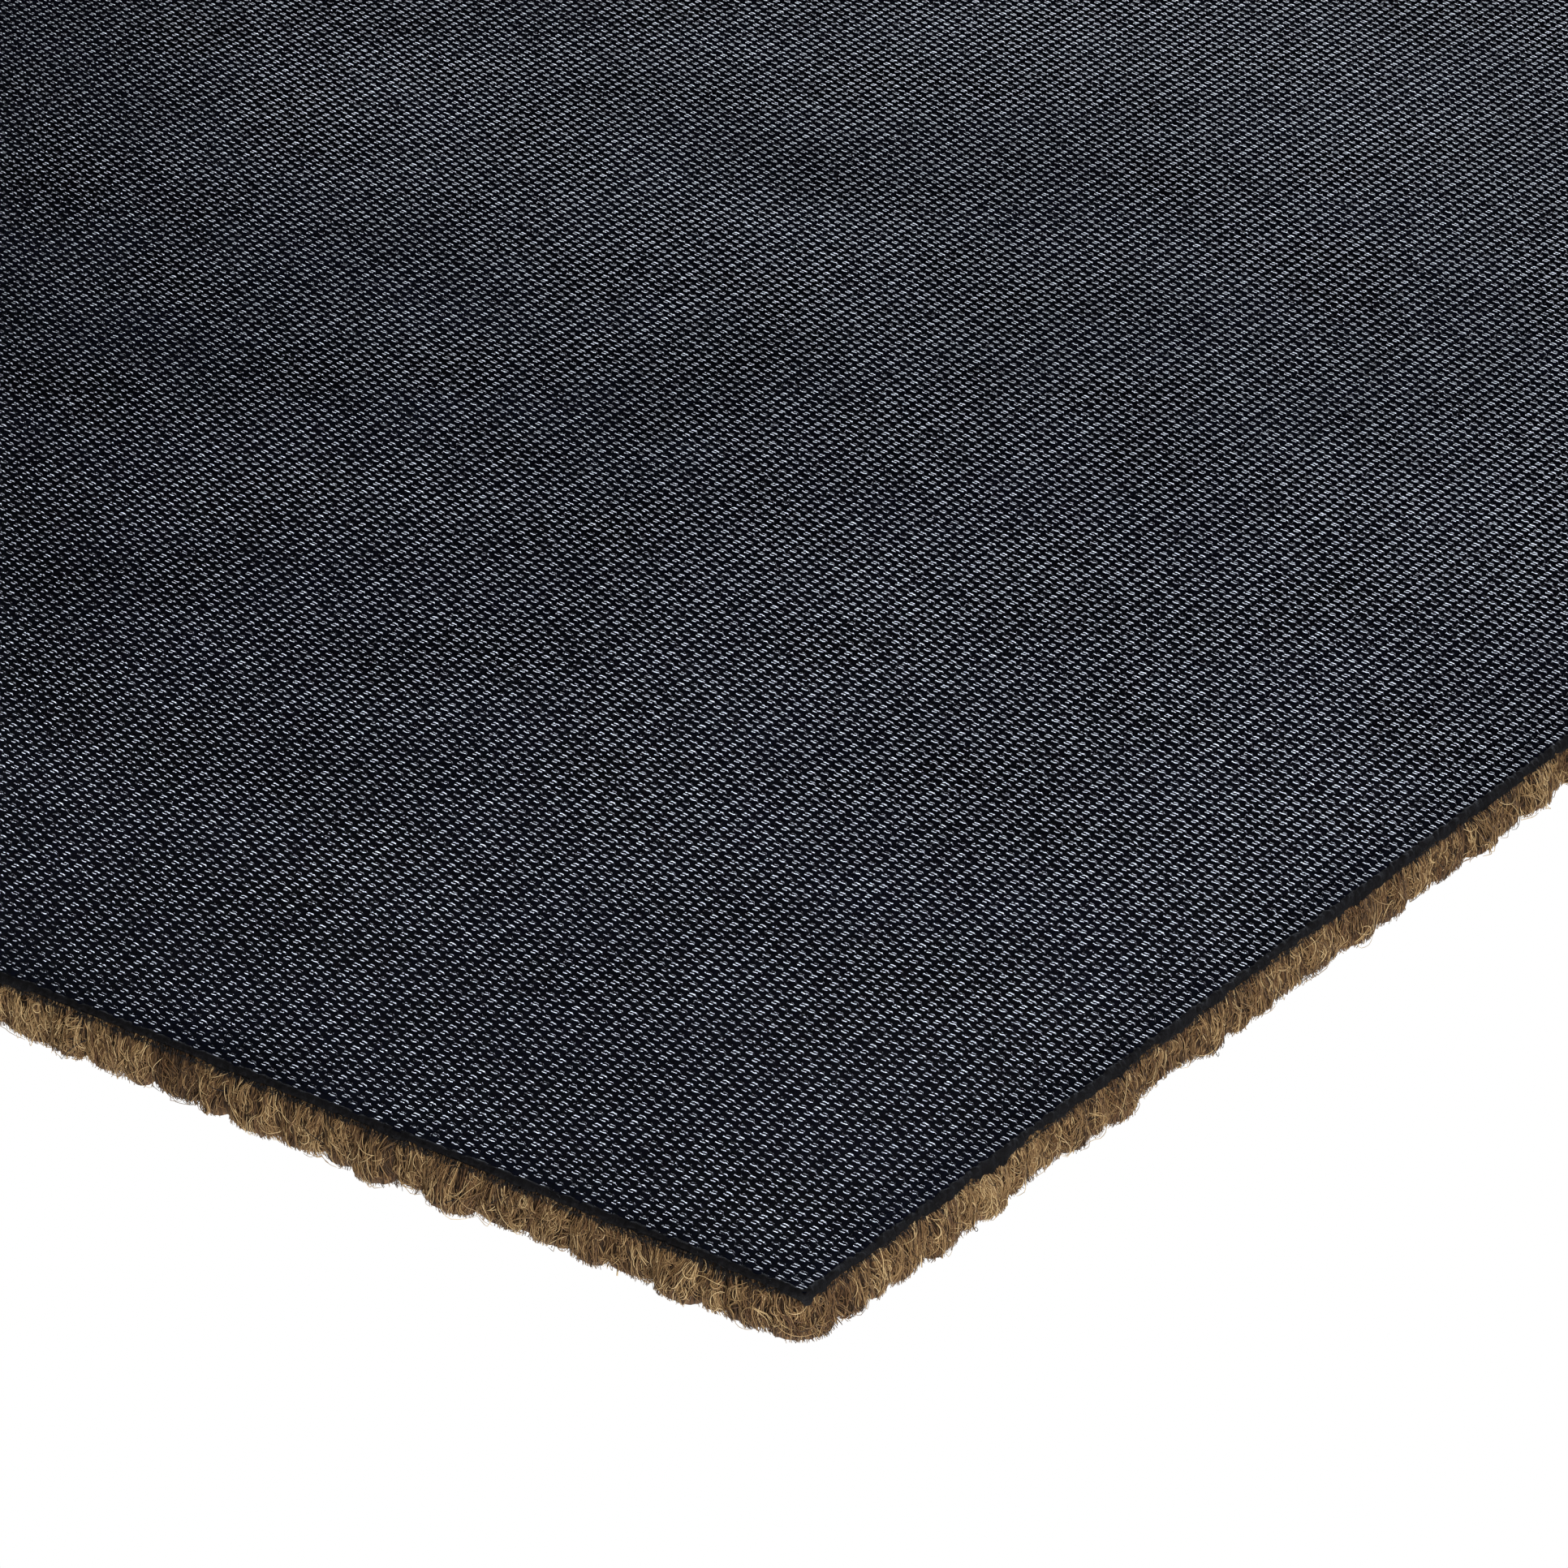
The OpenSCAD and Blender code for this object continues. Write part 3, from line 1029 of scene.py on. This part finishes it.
def closed_bar(rings, base):
    """Faces of a closed bar through rings of the same number of points, from vertex number base."""
    count, around, _ = rings.shape
    ids = base + np.arange(count * around).reshape(count, around)
    quads = np.stack([ids[:-1], ids[1:], np.roll(ids, -1, 1)[1:], np.roll(ids, -1, 1)[:-1]], -1)
    fan = np.arange(1, around - 1)
    near = np.stack([np.full_like(fan, ids[0, 0]), ids[0, fan], ids[0, fan + 1]], 1)
    far = np.stack([np.full_like(fan, ids[-1, 0]), ids[-1, fan + 1], ids[-1, fan]], 1)
    return quads.reshape(-1, 4), np.concatenate([near, far])


def tuft_rings(row):
    """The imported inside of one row: a bar that narrows between its tufts."""
    low, high = ROW_BOXES[row]
    step = 3.0 * MM
    inset_x, inset_y = 2.2 * MM, 2.0 * MM
    total = high[1] - low[1]
    count = int(total / step) + 1
    y = np.linspace(low[1] + inset_y, high[1] - inset_y, count)
    pinch = 0.5 + 0.5 * wander(y - low[1], 7 * MM, total)
    half = (high[0] - low[0]) / 2 - 0.7 * MM - 0.7 * MM * pinch
    top = high[2] - 1.9 * MM - 1.3 * MM * pinch
    centre = (high[0] + low[0]) / 2 + 0.4 * MM * wander(y - low[1], 12 * MM, total)
    # The bar's section, as shares of its half width and of its height
    section = [(0.86, 0.0), (0.95, 0.35), (1.0, 0.75), (0.85, 0.93), (0.45, 1.0), (0.0, 1.02),
               (-0.45, 1.0), (-0.85, 0.93), (-1.0, 0.75), (-0.95, 0.35), (-0.86, 0.0)]
    rings = np.zeros((count, len(section), 3))
    for k, (across, rise) in enumerate(section):
        ripple = 0.25 * MM * rng.uniform(-1, 1, count)
        rings[:, k, 0] = centre + across * half + ripple
        rings[:, k, 1] = y
        rings[:, k, 2] = ROOT_Z + rise * (top - ROOT_Z) + ripple * (rise > 0)
    widest = PILE_HALF_W - inset_x
    rings[:, :, 0] = np.clip(rings[:, :, 0], -widest, widest)
    trim = PILE_CORNER_R - (PILE_HALF_W - np.abs(rings[:, :, 0]))
    cut = np.where(trim > 0, PILE_CORNER_R - np.sqrt(np.maximum(PILE_CORNER_R**2 - trim**2, 0)), 0)
    limit = PILE_HALF_L - inset_y - cut
    rings[:, :, 1] = np.clip(rings[:, :, 1], -limit, limit)
    return rings


def bed_rings(outline, bundles):
    """The packed fibres behind the ones that show on the side: a ribbed band all the way round."""
    count = int(outline.total / (0.6 * MM))
    s = np.arange(count + 1) * outline.total / count
    levels = np.linspace(0, 1, 9)
    crown = bundles.crown(s) - 0.5 * MM
    rings = np.zeros((count + 1, len(levels) + 2, 3))
    for k, level in enumerate(levels):
        z = ROOT_Z + (crown - ROOT_Z) * level
        ribs = 0.28 * MM * rng.uniform(-1, 1, count + 1)
        out = bundles.surface(s, z) - BED_DEPTH + ribs
        rings[:, k] = lay_on_side(outline, s, out, z)
    back = np.full(count + 1, -3.6 * MM)
    rings[:, -2] = lay_on_side(outline, s, back, crown)
    rings[:, -1] = lay_on_side(outline, s, back, np.full(count + 1, ROOT_Z))
    return rings


def add_tufts(outline, bundles):
    """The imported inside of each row, with its part of the band round the pile."""
    bed = bed_rings(outline, bundles)
    owner = row_of(bed[:, 0, 0])
    starts = np.concatenate([[0], np.nonzero(np.diff(owner))[0] + 1])
    ends = np.concatenate([starts[1:], [len(bed)]])
    for row in range(len(ROW_NODES)):
        bars = [tuft_rings(row)]
        for start, end in zip(starts, ends):
            if owner[start] == row:
                bars.append(bed[start:min(end + 1, len(bed))])
        verts, quads, tris = [], [], []
        base = 0
        for bar in bars:
            bar_quads, bar_tris = closed_bar(bar, base)
            verts.append(bar.reshape(-1, 3))
            quads.append(bar_quads)
            tris.append(bar_tris)
            base += bar.shape[0] * bar.shape[1]
        name = ROW_NODES[row].replace("coir_row", "coir_tufts")
        # The bars and the band round the pile take the tuft material's painted shade
        piece = mesh_piece(name, np.concatenate(verts), np.concatenate(quads), np.concatenate(tris), [TUFT_PAINTED_SHADE])
        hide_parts(ROW_NODES[row])


def add_pile():
    """The pile: the inside of its rows, then every fibre, put with the row it is rooted in."""
    outline = Outline(PILE_HALF_W, PILE_HALF_L, PILE_CORNER_R)
    bundles = Bundles(outline.total)
    add_tufts(outline, bundles)
    add_fibres([
        laid_fibres(outline, bundles),
        curled_fibres(outline, bundles),
        stray_fibres(outline, bundles),
        edge_fuzz(outline, bundles),
        top_fibres(),
    ])


add_vinyl()
add_pile()
